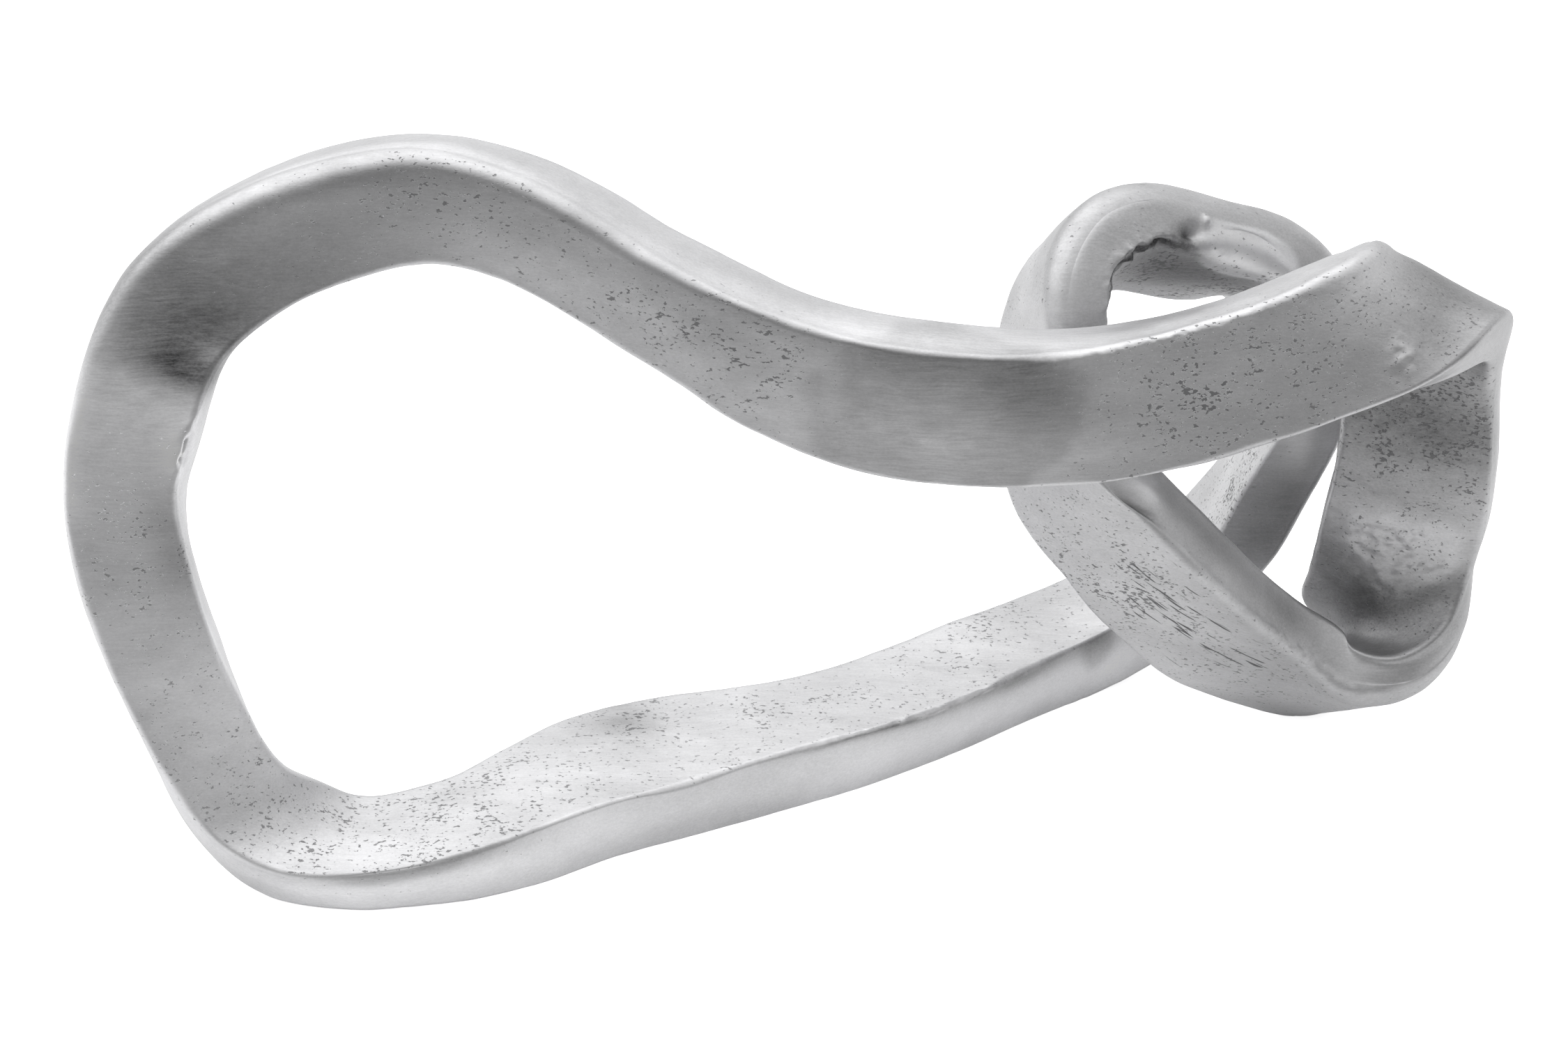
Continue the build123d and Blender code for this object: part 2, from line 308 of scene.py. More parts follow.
class KnotBarSizes(bpy.types.PropertyGroup):
    """Sizes of the bar and of its run, as in the packed part."""

    run_length: FloatProperty(
        name="Run length", description="Left to right extent of the centreline's frame",
        default=0.5, unit="LENGTH")
    run_depth: FloatProperty(
        name="Run depth", description="Front to back extent of the centreline's frame",
        default=0.2, unit="LENGTH")
    run_height: FloatProperty(
        name="Run height", description="Height of the centreline's frame",
        default=0.25, unit="LENGTH")
    face_width: FloatProperty(
        name="Face width", description="Usual width of the bar's wide face",
        default=0.05, unit="LENGTH")
    bar_thickness: FloatProperty(
        name="Bar thickness", description="Usual thickness of the bar",
        default=0.025, unit="LENGTH")
    edge_round: FloatProperty(
        name="Edge round", description="Usual radius of the bar's dressed edges",
        default=0.0028, unit="LENGTH")
    wide_crown: FloatProperty(
        name="Wide face crown", description="How far the middle of a wide face swells",
        default=0.0007, unit="LENGTH")
    thin_crown: FloatProperty(
        name="Thin face crown", description="How far the middle of a thin face swells",
        default=0.0006, unit="LENGTH")
    weld_reach: FloatProperty(
        name="Weld reach", description="Half the length of a weld ring",
        default=0.007, unit="LENGTH")
    weld_depth: FloatProperty(
        name="Weld depth", description="Depth of the bevels that a weld ring fills",
        default=0.006, unit="LENGTH")
    ground_cut: FloatProperty(
        name="Ground cut", description="How far below the run's frame it is ground flat",
        default=0.0015, unit="LENGTH")
    row_pitch: FloatProperty(
        name="Row pitch", description="Distance between two rows of points along the bar",
        default=0.00125, unit="LENGTH")


class KnotSkinSizes(bpy.types.PropertyGroup):
    """Sizes of what the founding, the welding and the grinding left on the surface."""

    sway: FloatProperty(
        name="Sway", description="Height of the broad waves left by hand grinding",
        default=0.0007, unit="LENGTH")
    sway_length: FloatProperty(
        name="Sway length", description="Length of the broad waves",
        default=0.055, unit="LENGTH")
    dent: FloatProperty(
        name="Dent", description="Height of the shorter waves",
        default=0.00022, unit="LENGTH")
    dent_length: FloatProperty(
        name="Dent length", description="Length of the shorter waves",
        default=0.017, unit="LENGTH")
    rag_length: FloatProperty(
        name="Rag length", description="Length of the bites along a ragged cast edge",
        default=0.0042, unit="LENGTH")
    lobe_length: FloatProperty(
        name="Lobe length", description="Length of the lobes in the outline of a weld patch",
        default=0.013, unit="LENGTH")
    rim_width: FloatProperty(
        name="Rim width", description="Width of the rim of a weld patch or of a ground area",
        default=0.0016, unit="LENGTH")
    edge_length: FloatProperty(
        name="Edge length", description="Distance over which the rounding of an edge varies",
        default=0.024, unit="LENGTH")
    edge_sway: FloatProperty(
        name="Edge sway", description="Share by which the rounding of an edge varies along it",
        default=0.45, subtype="FACTOR")
    seed: IntProperty(
        name="Seed", description="Start value of the surface's unevenness", default=11)


class KnotMetalColours(bpy.types.PropertyGroup):
    """Colours of the bare metal."""

    cast_colour: FloatVectorProperty(
        name="Cast skin", description="Aluminium with its cast skin",
        default=(0.60, 0.60, 0.61), subtype="COLOR")
    weld_colour: FloatVectorProperty(
        name="Weld metal", description="Aluminium of the weld rings",
        default=(0.60, 0.60, 0.61), subtype="COLOR")
    dressed_colour: FloatVectorProperty(
        name="Dressed metal", description="Aluminium ground and brushed by hand",
        default=(0.78, 0.78, 0.79), subtype="COLOR")
    pit_colour: FloatVectorProperty(
        name="Pit", description="Dirt and oxide in the pores of the casting",
        default=(0.22, 0.22, 0.225), subtype="COLOR")
    # Bright edges: partly worn metal, partly painted glints and highlights.
    worn_and_glint_colour: FloatVectorProperty(
        name="Worn edge", description="Aluminium rubbed bright",
        default=(0.90, 0.90, 0.91), subtype="COLOR")


class KnotStageSettings(bpy.types.PropertyGroup):
    """The floor, the lamp and the camera."""

    camera_rise: FloatProperty(
        name="Camera rise", description="Angle at which the camera looks down",
        default=math.radians(30), subtype="ANGLE")
    camera_distance: FloatProperty(
        name="Camera distance", description="From the camera to the point it looks at",
        default=1.736, unit="LENGTH")
    camera_aim: FloatVectorProperty(
        name="Camera aim", description="The point it looks at, in the frame of the run",
        default=(0.280, 0.100, 0.117), subtype="XYZ")
    lens: FloatProperty(
        name="Lens", description="Focal length of the camera, in millimetres", default=100.0)
    floor_side: FloatProperty(
        name="Floor side", description="Side of the square floor", default=9.0, unit="LENGTH")
    # The floor is paler under and behind the knot than in front. The darker front is painted shade,
    # for the metal to reflect.
    floor_near: FloatProperty(
        name="Floor near", description="Paleness of the floor under and behind the knot",
        default=0.95)
    floor_far: FloatProperty(
        name="Floor in front", description="Paleness of the floor well in front of the knot",
        default=0.30)
    near_edge: FloatProperty(
        name="Near edge", description="How far in front the floor starts to get less pale",
        default=0.13, unit="LENGTH")
    far_edge: FloatProperty(
        name="Far edge", description="How far in front the floor is at its least pale",
        default=0.32, unit="LENGTH")
    floor_white: FloatProperty(
        name="Floor white", description="How pale the camera sees the floor, whatever it reflects",
        default=1.7)
    lamp_power: FloatProperty(
        name="Lamp power", description="Power of the soft lamp overhead, in watts", default=30.0)
    lamp_side: FloatProperty(
        name="Lamp side", description="Side of the soft lamp overhead", default=3.5, unit="LENGTH")


def closed_spline(stops, rows, lap, turn):
    """Cubic through the rows at the stops. A lap later it repeats, times turn (1 or -1)."""
    count = len(stops)
    gaps = np.append(stops[1:], stops[0] + lap) - stops
    matrix = np.zeros((count, count))
    right = np.zeros((count, rows.shape[1]))
    after = np.roll(rows, -1, axis=0)
    after[-1] *= turn
    steps = (after - rows) / gaps[:, None]
    for i in range(count):
        back_sign = turn if i == 0 else 1
        next_sign = turn if i == count - 1 else 1
        matrix[i, i - 1] += gaps[i - 1] * back_sign
        matrix[i, i] += 2 * (gaps[i - 1] + gaps[i])
        matrix[i, (i + 1) % count] += gaps[i] * next_sign
        right[i] = 6 * (steps[i] - back_sign * steps[i - 1])
    bends = np.linalg.solve(matrix, right)
    bends_after = np.roll(bends, -1, axis=0)
    bends_after[-1] *= turn

    def read(places):
        """Values and slopes at places along the lap, one row each."""
        laps, inside = np.divmod(places, lap)
        i = np.searchsorted(stops, inside, side="right") - 1
        gap = gaps[i][:, None]
        u = (inside - stops[i])[:, None] / gap
        v = 1 - u
        value = v * rows[i] + u * after[i]
        value = value + gap**2 / 6 * ((v**3 - v) * bends[i] + (u**3 - u) * bends_after[i])
        slope = steps[i] + gap / 6 * ((1 - 3 * v**2) * bends[i] + (3 * u**2 - 1) * bends_after[i])
        sign = np.where(laps % 2 == 0, 1, turn)[:, None]
        return sign * value, sign * slope

    return read


def unit(rows):
    """Rows scaled to length one."""
    return rows / np.linalg.norm(rows, axis=-1, keepdims=True)


def lattice(cell, seed):
    """One fixed random number from -1 to 1 for each whole-numbered cell."""
    cell = cell.astype(np.int64).astype(np.uint32)
    mixed = cell[..., 0] * np.uint32(374761393) + cell[..., 1] * np.uint32(668265263)
    mixed = mixed + cell[..., 2] * np.uint32(2246822519) + np.uint32(seed * 97 + 1)
    mixed = (mixed ^ (mixed >> np.uint32(13))) * np.uint32(1274126177)
    mixed = mixed ^ (mixed >> np.uint32(16))
    return mixed.astype(float) / 2**31 - 1


def waves(points, length, seed):
    """Smooth random waves of about that length, from -1 to 1, at points in space."""
    scaled = points / length
    cell = np.floor(scaled)
    u = scaled - cell
    u = u**3 * (u * (6 * u - 15) + 10)
    total = 0
    for dx in (0, 1):
        for dy in (0, 1):
            for dz in (0, 1):
                share = (u[..., 0] if dx else 1 - u[..., 0]) * (u[..., 1] if dy else 1 - u[..., 1])
                share = share * (u[..., 2] if dz else 1 - u[..., 2])
                total = total + share * lattice(cell + (dx, dy, dz), seed)
    return total


def round_profile():
    """The oblong's outline as two tables: where each point hangs on the flat oblong inside the
    roundings (-1 to 1 across the width and the thickness), and which way it looks."""
    wide = np.linspace(-1, 1, wide_points)
    thin = np.linspace(-1, 1, thin_points)
    turns = np.linspace(0, math.pi / 2, edge_points + 2)[1:-1]
    hang = []
    look = []
    for side in (1, -1):
        for x in wide[wide_points // 2:] if side == 1 else wide:
            hang.append((side * x, side))
            look.append((0, side))
        for turn in turns:
            hang.append((side, side))
            look.append((side * math.sin(turn), side * math.cos(turn)))
        for y in thin:
            hang.append((side, -side * y))
            look.append((side, 0))
        for turn in turns:
            hang.append((side, -side))
            look.append((side * math.cos(turn), -side * math.sin(turn)))
    for x in wide[:wide_points // 2]:
        hang.append((x, 1))
        look.append((0, 1))
    return np.array(hang, float), np.array(look, float)


class Bar:
    """The bar's run and outline, read from the sizes of a scene."""

    def __init__(self, scene):
        self.sizes = scene.knot_bar
        self.skin = scene.knot_skin
        run = (self.sizes.run_length, self.sizes.run_depth, self.sizes.run_height)
        usual = (self.sizes.face_width, self.sizes.bar_thickness)
        centres = np.array([row[:3] for row in stations]) * run
        facings = unit(np.array([row[3] for row in stations]))
        halves = np.array([row[4:] for row in stations]) * usual / 2
        spans = np.linalg.norm(np.roll(centres, -1, axis=0) - centres, axis=1)
        stops = np.cumsum(spans) - spans
        self.lap = spans.sum()
        self.centre_at = closed_spline(stops, centres, self.lap, 1)
        self.facing_at = closed_spline(stops, facings, self.lap, -1)
        self.half_at = closed_spline(stops, halves, self.lap, 1)
        self.seams = [stops[i] for i in first_station] + [self.lap]
        self.hang, self.look = round_profile()
        self.seat = np.zeros(3)
        rough = self.rings(np.linspace(0, self.lap, rough_places, endpoint=False)).reshape(-1, 3)
        middle = (rough.min(axis=0) + rough.max(axis=0)) / 2
        self.seat = np.array((-middle[0], -middle[1], self.sizes.ground_cut))

    def place_of(self, piece, share):
        """The place along the bar at a share of one casting's length."""
        i = castings.index(piece)
        return self.seams[i] + share * (self.seams[i + 1] - self.seams[i])

    def edge_rounds(self, places, corners):
        """Radius of the four long edges at places along the bar, from where their corners lie."""
        uneven = waves(corners, self.skin.edge_length, self.skin.seed + 40)
        rounds = 1 + self.skin.edge_sway * uneven
        for piece, share, edge, length, more in soft_edges:
            off = (places - self.place_of(piece, share)) / length
            rounds[:, edge] += more * np.exp(-(off**2))
        return self.sizes.edge_round * rounds

    def rings(self, places, growth=0.0):
        """Rings of points round the bar at places along it, before anything has worn them."""
        centre, along = self.centre_at(places)
        half = self.half_at(places)[0]
        along = unit(along)
        across = unit(np.cross(along, self.facing_at(places)[0]))
        facing = np.cross(across, along)
        signs = np.array([(1, 1), (1, -1), (-1, -1), (-1, 1)])
        corners = centre[:, None] + self.seat
        corners = corners + signs[None, :, :1] * (half[:, None, :1] * across[:, None])
        corners = corners + signs[None, :, 1:] * (half[:, None, 1:] * facing[:, None])
        nearness = (1 + self.hang[:, None] * signs[None]) / 2
        nearness = nearness[..., 0] * nearness[..., 1]
        rounds = self.edge_rounds(places, corners) * (half[:, 1:] + growth) / half[:, 1:]
        rounds = (rounds @ nearness.T)[..., None]
        flats = (abs(self.hang) < 1) * (1 - self.hang**2) ** 2
        crown = flats[:, 0] * self.sizes.wide_crown + flats[:, 1] * self.sizes.thin_crown
        flat = self.hang * (half[:, None] + growth - rounds) + self.look * (rounds + crown[:, None])
        points = centre[:, None] + self.seat
        return points + flat[..., :1] * across[:, None] + flat[..., 1:] * facing[:, None]

    def surface(self, places):
        """Finished surface at places along the bar: points, normals, masks and the two lengths,
        along and round, of each point. It leaves out the first and last place."""
        rings = self.rings(places)
        steps = np.linalg.norm(np.roll(rings, -1, axis=1) - rings, axis=2)
        round_length = np.cumsum(steps, axis=1) - steps
        girth = steps.sum(axis=1)
        outward = self.normals(rings)
        rise, masks = self.marks(rings, places, girth)
        points = rings + outward * rise[..., None]
        points[..., 2] = np.maximum(points[..., 2], 0)
        along_length = np.broadcast_to(places[:, None], round_length.shape)
        lengths = np.stack([along_length, round_length], axis=2)
        masks = {name: mask[1:-1] for name, mask in masks.items()}
        return points[1:-1], self.normals(points)[1:-1], masks, lengths[1:-1], girth[1:-1]

    @staticmethod
    def normals(rings):
        """Which way the surface looks at each point of some rings."""
        round_way = np.roll(rings, -1, axis=1) - np.roll(rings, 1, axis=1)
        along_way = np.gradient(rings, axis=0)
        return unit(np.cross(round_way, along_way))

    def marks(self, rings, places, girth):
        """How far the surface stands above the plain bar, and the masks that the materials read."""
        skin = self.skin
        rise = skin.sway * waves(rings, skin.sway_length, skin.seed)
        rise = rise + skin.sway / 2 * waves(rings, skin.sway_length / 2, skin.seed + 1)
        rise = rise + skin.dent * waves(rings, skin.dent_length, skin.seed + 2)
        rise = rise + skin.dent / 3 * waves(rings, skin.dent_length / 3, skin.seed + 3)
        rag = waves(rings, skin.rag_length, skin.seed + 4)
        rag = rag + bite_share * waves(rings, skin.rag_length / bite_fineness, skin.seed + 5)
        lobes = waves(rings, skin.lobe_length, skin.seed + 6)
        edge = 2 * abs(self.look[:, 0] * self.look[:, 1])
        wide = abs(self.look[:, 1])
        # The tone mask gathers painted shade and painted light from the spots, with some stains of
        # the metal; the edge mask holds worn edges and painted glints.
        masks = {
            "edge": np.broadcast_to(usual_wear * edge, rise.shape).copy(),
            "pits": np.broadcast_to(usual_pits * wide, rise.shape).copy(),
            "dressed": np.full(rise.shape, usual_dressed),
            "tone": np.zeros(rise.shape),
            "gouges": np.zeros(rise.shape),
        }
        turn = np.arange(len(self.hang)) / len(self.hang)
        rows = [(piece, *row) for piece, group in spots.items() for row in group]
        for piece, kind, share, side, length, width, amount in rows:
            off_along = (places - self.place_of(piece, share))[:, None] / length
            off_round = (turn - side + 0.5) % 1 - 0.5
            off_round = off_round[None] * girth[:, None] / width
            spot = np.exp(-(off_along**2) - off_round**2)
            if kind == "rise":
                rise = rise + amount * spot
            elif kind == "ragged":
                rise = rise + amount * spot * rag
            elif kind in ("patch", "stain_and_painted_light"):
                rim = np.sqrt(off_along**2 + off_round**2) + rim_bulge * lobes - 1
                inside = amount * (1 - np.tanh(rim * length / skin.rim_width / 2)) / 2
                if kind == "patch":
                    rise = rise + inside
                # Otherwise it is a stain, added to the tone mask: some are stains of the metal, the
                # others painted shade and painted highlight.
                else:
                    masks["tone"] += inside
            else:
                masks[kind] += amount * spot
        return rise, {name: np.clip(mask, -1, 1) for name, mask in masks.items()}


def quads(rows, count):
    """Faces between neighbouring rings: rows of rings, count points in each."""
    i = np.arange(rows - 1)[:, None] * count
    j = np.arange(count)[None]
    after = (j + 1) % count
    return np.stack([i + j, i + after, i + count + after, i + count + j], axis=2).reshape(-1, 4)


def build_piece(name, node, bar, places, root_places, closed_ends):
    """Makes one visible piece of the bar: the finished surface over some places, then either a cap
    at each end (a casting) or a way back round through its root (a weld ring)."""
    points, normals, masks, lengths, girth = bar.surface(places)
    rows, count = points.shape[:2]
    roots = bar.rings(np.array(root_places), -bar.sizes.weld_depth)
    roots[..., 2] = np.maximum(roots[..., 2], 0)
    outer = quads(rows, count)
    last = (rows - 1) * count
    ring = np.arange(count)
    after = (ring + 1) % count
    start_root = rows * count
    end_root = start_root + (len(roots) - 1) * count
    bevels = [
        np.stack([start_root + ring, start_root + after, after, ring], axis=1),
        np.stack([last + ring, last + after, end_root + after, end_root + ring], axis=1),
    ]
    faces = np.concatenate([outer] + bevels).tolist()
    if closed_ends:
        faces.append((start_root + ring[::-1]).tolist())
        faces.append((end_root + ring).tolist())
    mesh = bpy.data.meshes.new(name)
    mesh.from_pydata(np.concatenate([points, roots]).reshape(-1, 3).tolist(), [], faces)
    smooth = np.zeros(len(faces), bool)
    smooth[:len(outer)] = True
    mesh.polygons.foreach_set("use_smooth", smooth)
    corner_normals = np.zeros((len(mesh.loops), 3))
    corner_normals[:outer.size] = normals.reshape(-1, 3)[outer.ravel()]
    mesh.normals_split_custom_set(corner_normals.tolist())
    way = lengths.reshape(-1, 2)[outer]
    seam_faces = np.arange(len(outer)) % count == count - 1
    way[seam_faces, 1, 1] = girth[:-1]
    way[seam_faces, 2, 1] = girth[1:]
    corner_way = np.zeros((len(mesh.loops), 2))
    corner_way[:outer.size] = way.reshape(-1, 2)
    mesh.uv_layers.new(name="along_and_round").data.foreach_set("uv", corner_way.ravel())
    for label, mask in masks.items():
        values = np.zeros(len(mesh.vertices), np.float32)
        values[:mask.size] = mask.ravel()
        mesh.attributes.new(label, "FLOAT", "POINT").data.foreach_set("value", values)
    mesh.update()
    piece = bpy.data.objects.new(name, mesh)
    bpy.context.scene.collection.objects.link(piece)
    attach(piece, "root")
    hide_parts(node)
    return piece


def spaced(first, last, pitch):
    """Places from first to last about a pitch apart, with one more beyond each end."""
    count = max(4, math.ceil((last - first) / pitch))
    step = (last - first) / count
    return first + step * np.arange(-1, count + 2)


# Materials

def feed(tree, socket, value):
    """Gives a socket its value, or links it to another socket."""
    if isinstance(value, bpy.types.NodeSocket):
        tree.links.new(value, socket)
    else:
        socket.default_value = value


def node(tree, kind, *values, **settings):
    """A node in a tree. The values go to its sockets in their order, and each setting to the socket
    or the property of that name. A socket can be given another node's socket."""
    made = tree.nodes.new(kind)
    for name, value in settings.items():
        if name in made.inputs:
            feed(tree, made.inputs[name], value)
        else:
            setattr(made, name, value)
    for socket, value in zip(made.inputs, values):
        feed(tree, socket, value)
    return made


def math_node(tree, operation, *values):
    """What a Math node makes of sockets or plain numbers."""
    return node(tree, "ShaderNodeMath", *values, operation=operation).outputs[0]


def span_node(tree, value, low, high, to_low=0.0, to_high=1.0):
    """The value, from low to high, made to run smoothly from to_low to to_high."""
    made = node(tree, "ShaderNodeMapRange", value, low, high, to_low, to_high,
                interpolation_type="SMOOTHSTEP")
    return made.outputs["Result"]


def noise_node(tree, where, scale, detail, roughness=0.5):
    """Noise from 0 to 1, with as many waves per unit of length as the scale says."""
    made = node(tree, "ShaderNodeTexNoise", where, Scale=scale, Detail=detail, Roughness=roughness)
    return made.outputs["Fac"]


def vector_node(tree, operation, *values):
    """What a Vector Math node makes of sockets or plain vectors."""
    return node(tree, "ShaderNodeVectorMath", *values, operation=operation).outputs[0]


def weighed_sum(tree, start, *parts):
    """A number plus some sockets, each times its share."""
    for socket, share in parts:
        start = math_node(tree, "MULTIPLY_ADD", socket, share, start)
    return start


def grey_node(tree, level):
    """The grey of a level."""
    return node(tree, "ShaderNodeCombineColor", level, level, level).outputs[0]


def mix_colour(tree, share, first, second, blend="MIX"):
    """One colour mixed with another by a share."""
    made = node(tree, "ShaderNodeMix", share, data_type="RGBA", blend_type=blend)
    for socket, colour in zip(made.inputs[6:8], (first, second)):
        feed(tree, socket, (*colour, 1.0) if isinstance(colour, tuple) else colour)
    return made.outputs[2]


def lay_out(tree):
    """Sets a tree's nodes in columns, each node to the left of all that it feeds."""
    column = {item.name: 0 for item in tree.nodes}
    for _ in tree.nodes:
        for link in tree.links:
            behind = column[link.to_node.name] + 1
            column[link.from_node.name] = max(column[link.from_node.name], behind)
    filled = [0] * (len(column) + 1)
    for item in tree.nodes:
        place = column[item.name]
        item.location = (-node_spacing[0] * place, -node_spacing[1] * filled[place])
        filled[place] += 1


def group_node(tree, build, **sockets):
    """A node of the group that a function builds. It is built once, with the function's name."""
    group = bpy.data.node_groups.get(build.__name__) or build(build.__name__)
    return node(tree, "ShaderNodeGroup", node_tree=group, **sockets)


def new_group(name, sockets):
    """An empty shader node group with named inputs and their defaults, and what they give."""
    group = bpy.data.node_groups.new(name, "ShaderNodeTree")
    for label, default in sockets.items():
        socket = group.interface.new_socket(label, in_out="INPUT", socket_type="NodeSocketFloat")
        socket.default_value = default
    return group, node(group, "NodeGroupInput").outputs


def close_group(group, **results):
    """Gives a group its named outputs and lays out its nodes."""
    for label in results:
        group.interface.new_socket(label, in_out="OUTPUT", socket_type="NodeSocketFloat")
    node(group, "NodeGroupOutput", *results.values())
    lay_out(group)
    return group


def cast_skin(name):
    """Pores and grain that the mould left in the metal."""
    group, given = new_group(
        name, {"Pits": 0.5, "Speck Size": 0.0013, "Pore Size": 0.0048, "Grain Size": 0.0007})
    where = node(group, "ShaderNodeTexCoord").outputs["Object"]
    long_way = (0.6, 1.0, 1.0)
    laid = vector_node(group, "MULTIPLY", where, long_way)

    # The share of pits here, which comes and goes in clumps.
    clumps_per_metre = 85.0
    between_clumps = 0.35
    in_clumps = 1.15
    clumps = noise_node(group, where, clumps_per_metre, detail=2.0)
    share = span_node(group, clumps, *noise_range, between_clumps, in_clumps)
    share = math_node(group, "MULTIPLY", share, given["Pits"])

    # Specks are the tops of a noise, cut lower where there are more pits.
    no_speck = 0.705
    speck_gain = -0.19
    speck_rim = 0.05
    speck_scale = math_node(group, "DIVIDE", 1.0, given["Speck Size"])
    specks = noise_node(group, laid, speck_scale, detail=2.5, roughness=0.55)
    low = weighed_sum(group, no_speck, (share, speck_gain))
    high = math_node(group, "ADD", low, speck_rim)
    speck = span_node(group, specks, low, high)

    # Larger pores sit in some cells of a bent grid, wider where there are more pits. Their widths
    # are shares of a cell's, and the rim is never of no width.
    bends_per_metre = 700.0
    bend = 0.003
    cells_without = 0.72
    widest_pore = 0.34
    least_pore = 0.05
    least_rim = 0.001
    bottom_share = 0.4
    bent = node(group, "ShaderNodeTexNoise", where, Scale=bends_per_metre, Detail=2.0)
    bent = vector_node(group, "MULTIPLY_ADD", bent.outputs["Color"], (bend, bend, bend), where)
    pore_scale = math_node(group, "DIVIDE", 1.0, given["Pore Size"])
    cells = node(group, "ShaderNodeTexVoronoi", bent, Scale=pore_scale)
    chance = node(group, "ShaderNodeSeparateColor", cells.outputs["Color"]).outputs[0]
    reach = span_node(group, chance, cells_without, 1.0, 0.0, widest_pore)
    reach = math_node(group, "MULTIPLY", reach, share)
    rim = math_node(group, "ADD", reach, least_rim)
    bottom = math_node(group, "MULTIPLY", rim, bottom_share)
    pore = span_node(group, cells.outputs["Distance"], bottom, rim, 1.0, 0.0)
    pore = math_node(group, "MULTIPLY", pore, math_node(group, "GREATER_THAN", reach, least_pore))

    # Nothing shows where there are next to no pits.
    no_pits = 0.02
    some_pits = 0.12
    pit = math_node(group, "MAXIMUM", speck, pore)
    pit = math_node(group, "MULTIPLY", pit, span_node(group, given["Pits"], no_pits, some_pits))

    # Heights in metres.
    pit_height = -0.0003
    grain_height = 0.00002
    more_grain_height = 0.00007
    grain_scale = math_node(group, "DIVIDE", 1.0, given["Grain Size"])
    grain = noise_node(group, laid, grain_scale, detail=3.0, roughness=0.6)
    rough = weighed_sum(group, grain_height, (given["Pits"], more_grain_height))
    height = weighed_sum(group, math_node(group, "MULTIPLY", pit, pit_height), (grain, rough))
    return close_group(group, Pit=pit, Grain=grain, Height=height)


def brush_marks(name):
    """Fine lines that brushing left from left to right over the whole knot."""
    group, given = new_group(name, {"Strength": 1.0, "Spacing": 0.0009, "Length": 0.016})
    where = node(group, "ShaderNodeTexCoord").outputs["Object"]
    drifts_per_metre = 30.0
    drift = (0.0, 0.006, 0.006)
    bowed = node(group, "ShaderNodeTexNoise", where, Scale=drifts_per_metre, Detail=2.0)
    bowed = vector_node(group, "MULTIPLY_ADD", bowed.outputs["Color"], drift, where)
    x, y, z = node(group, "ShaderNodeSeparateXYZ", bowed).outputs
    along = math_node(group, "DIVIDE", x, given["Length"])
    across = [math_node(group, "DIVIDE", side, given["Spacing"]) for side in (y, z)]
    laid = node(group, "ShaderNodeCombineXYZ", along, *across).outputs[0]
    lines = noise_node(group, laid, 1.0, detail=3.0, roughness=0.65)
    tone = math_node(group, "MULTIPLY", math_node(group, "SUBTRACT", lines, 0.5), given["Strength"])
    line_height = 0.00003
    return close_group(group, Tone=tone, Height=math_node(group, "MULTIPLY", tone, line_height))


def gouge_marks(name):
    """Short dark strokes, a little askew to the bar, where a grinder skipped."""
    group, given = new_group(name, {"Gouges": 0.0, "Width": 0.0021, "Length": 0.020})
    way = node(group, "ShaderNodeUVMap", uv_map="along_and_round").outputs[0]
    along, round_way, _ = node(group, "ShaderNodeSeparateXYZ", way).outputs
    skew = 0.25
    skewed = weighed_sum(group, round_way, (along, skew))
    laid = node(group, "ShaderNodeCombineXYZ", math_node(group, "DIVIDE", along, given["Length"]),
                math_node(group, "DIVIDE", skewed, given["Width"])).outputs[0]

    # Strokes are the tops of a noise, cut lower where there are more of them.
    no_stroke = 0.745
    stroke_gain = -0.18
    stroke_rim = 0.06
    no_gouges = 0.1
    some_gouges = 0.3
    strokes = noise_node(group, laid, 1.0, detail=1.5)
    low = weighed_sum(group, no_stroke, (given["Gouges"], stroke_gain))
    stroke = span_node(group, strokes, low, math_node(group, "ADD", low, stroke_rim))
    shown = span_node(group, given["Gouges"], no_gouges, some_gouges)
    stroke = math_node(group, "MULTIPLY", stroke, shown)
    return close_group(group, Gouge=stroke)


def edge_wear_and_glint(name):
    """Where the long edges are rubbed bright, in uneven stretches, and where glints and highlights
    are painted on them.
    """
    group, given = new_group(name, {"Edge": 0.0, "Amount": 0.6})
    stretches_per_metre = 70.0
    edge_starts = 0.15
    edge_full = 0.9
    where = node(group, "ShaderNodeTexCoord").outputs["Object"]
    stretches = noise_node(group, where, stretches_per_metre, detail=4.0, roughness=0.6)
    kept = span_node(group, stretches, *noise_range)
    near = span_node(group, given["Edge"], edge_starts, edge_full)
    wear_and_glint = math_node(group, "MULTIPLY", math_node(group, "MULTIPLY", kept, near), given["Amount"])
    return close_group(group, Wear=wear_and_glint)


